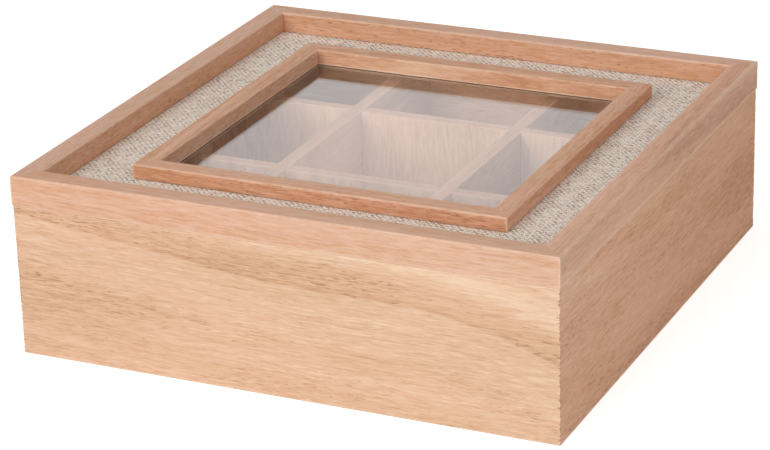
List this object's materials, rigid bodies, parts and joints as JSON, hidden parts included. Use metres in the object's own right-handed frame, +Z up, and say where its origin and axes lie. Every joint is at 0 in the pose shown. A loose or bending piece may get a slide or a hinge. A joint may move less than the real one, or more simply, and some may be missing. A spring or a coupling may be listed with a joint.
{
  "type": "compartment box with a glazed lid",
  "caption": "Square wooden box with a hinged, linen-covered lid, a raised glass window and a grid of cells that hold tea bags.",
  "frame": {"origin": "middle of the flat underside that the box stands on", "axes": "+X to the right along the front wall, +Y from the front to the hinged back, +Z up"},
  "size_m": [0.24, 0.2465, 0.0791],
  "materials": {
    "wall_wood": "fine-grained pale timber, satin clear coat",
    "rim_wood": "fine-grained timber, satin clear coat",
    "frame_wood": "warm timber, satin clear coat",
    "divider_wood": "planed, uncoated",
    "plywood": "sanded, uncoated",
    "linen": "coarse plain weave in natural linen",
    "clear_glass": "clear float glass",
    "brass": "satin brass"
  },
  "bodies": {
    "box": {"front_wall": "wall_wood", "right_wall": "wall_wood", "back_wall": "wall_wood", "left_wall": "wall_wood", "bottom_panel": "plywood", "divider_front": "divider_wood", "divider_rear": "divider_wood", "divider_left": "divider_wood", "divider_right": "divider_wood", "left_hinge_body_leaf": "brass", "right_hinge_body_leaf": "brass", "left_hinge_pin": "brass", "right_hinge_pin": "brass", "body_hinge_screws": "brass"},
    "lid": {"lid_rim_front": "rim_wood", "lid_rim_right": "rim_wood", "lid_rim_back": "rim_wood", "lid_rim_left": "rim_wood", "lid_panel": "plywood", "lid_linen": "linen", "window_frame_front": "frame_wood", "window_frame_right": "frame_wood", "window_frame_back": "frame_wood", "window_frame_left": "frame_wood", "window_glass": "clear_glass", "glazing_bead_front": "divider_wood", "glazing_bead_right": "divider_wood", "glazing_bead_back": "divider_wood", "glazing_bead_left": "divider_wood", "left_hinge_lid_leaf": "brass", "right_hinge_lid_leaf": "brass", "lid_hinge_screws": "brass"}
  },
  "joints": [
    {"name": "lid_hinge", "type": "hinge", "parent": "box", "child": "lid", "pos_m": [0, 0.1225, 0.06605], "axis": [-1, 0, 0], "range_deg": [0, 95]}
  ]
}
